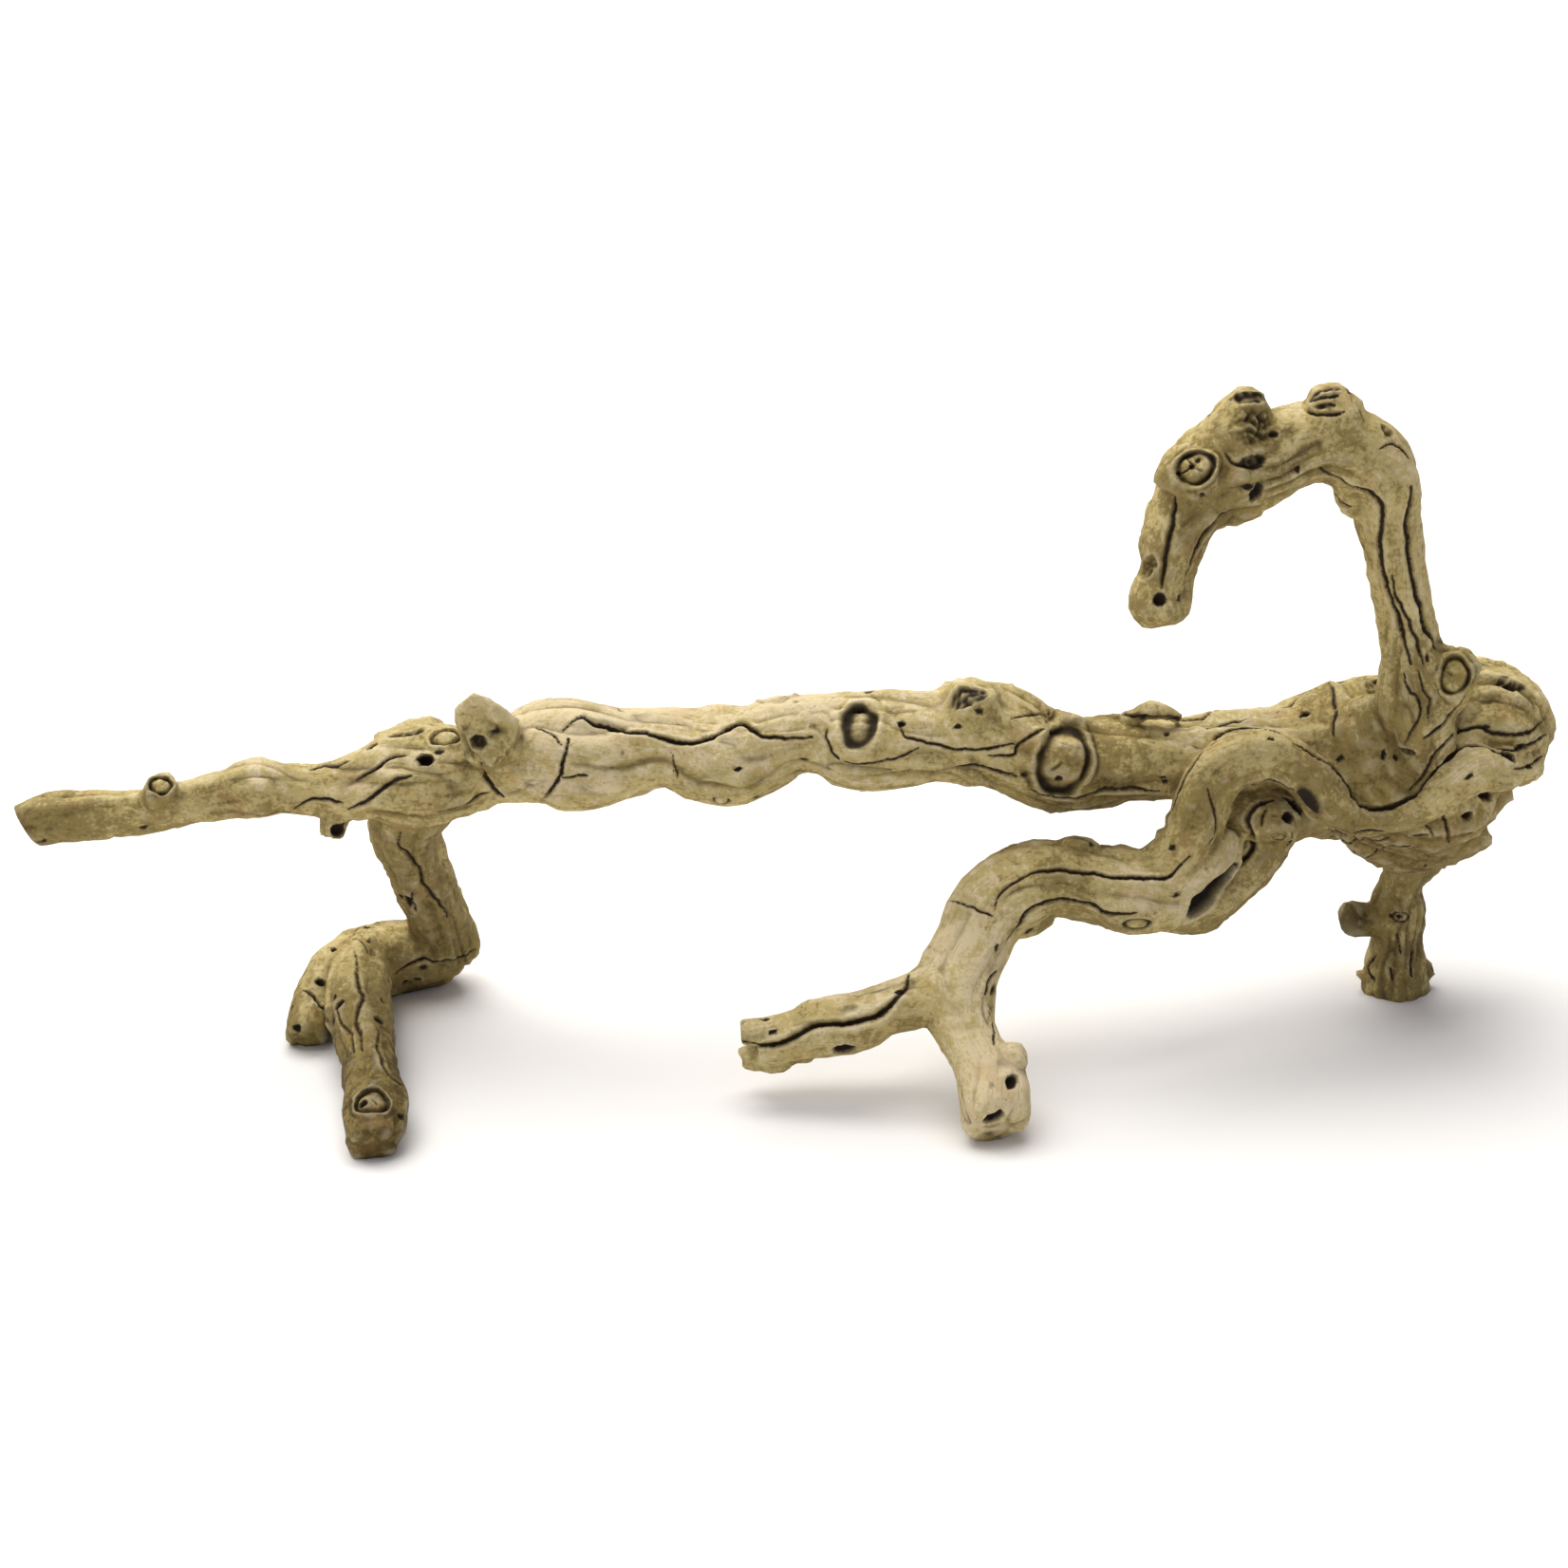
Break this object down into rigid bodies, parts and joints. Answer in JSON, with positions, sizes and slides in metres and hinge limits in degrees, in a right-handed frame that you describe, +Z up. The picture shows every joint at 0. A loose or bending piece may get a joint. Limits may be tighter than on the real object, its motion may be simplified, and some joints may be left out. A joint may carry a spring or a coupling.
{
  "type": "driftwood branch",
  "caption": "Weathered grapevine driftwood branch that stands on its own feet, with cracked grain, ringed knots and a neck that hooks over.",
  "frame": {"origin": "middle of the bounding box, on the ground that the feet stand on", "axes": "+X along the trunk from the thin arm to the root hub, +Y away from the front, +Z up"},
  "size_m": [0.616, 0.1847, 0.2802],
  "materials": {
    "grapewood": "matte, sandblasted, with dark cracks and knots"
  },
  "bodies": {
    "root": {"driftwood": "grapewood"}
  },
  "joints": []
}
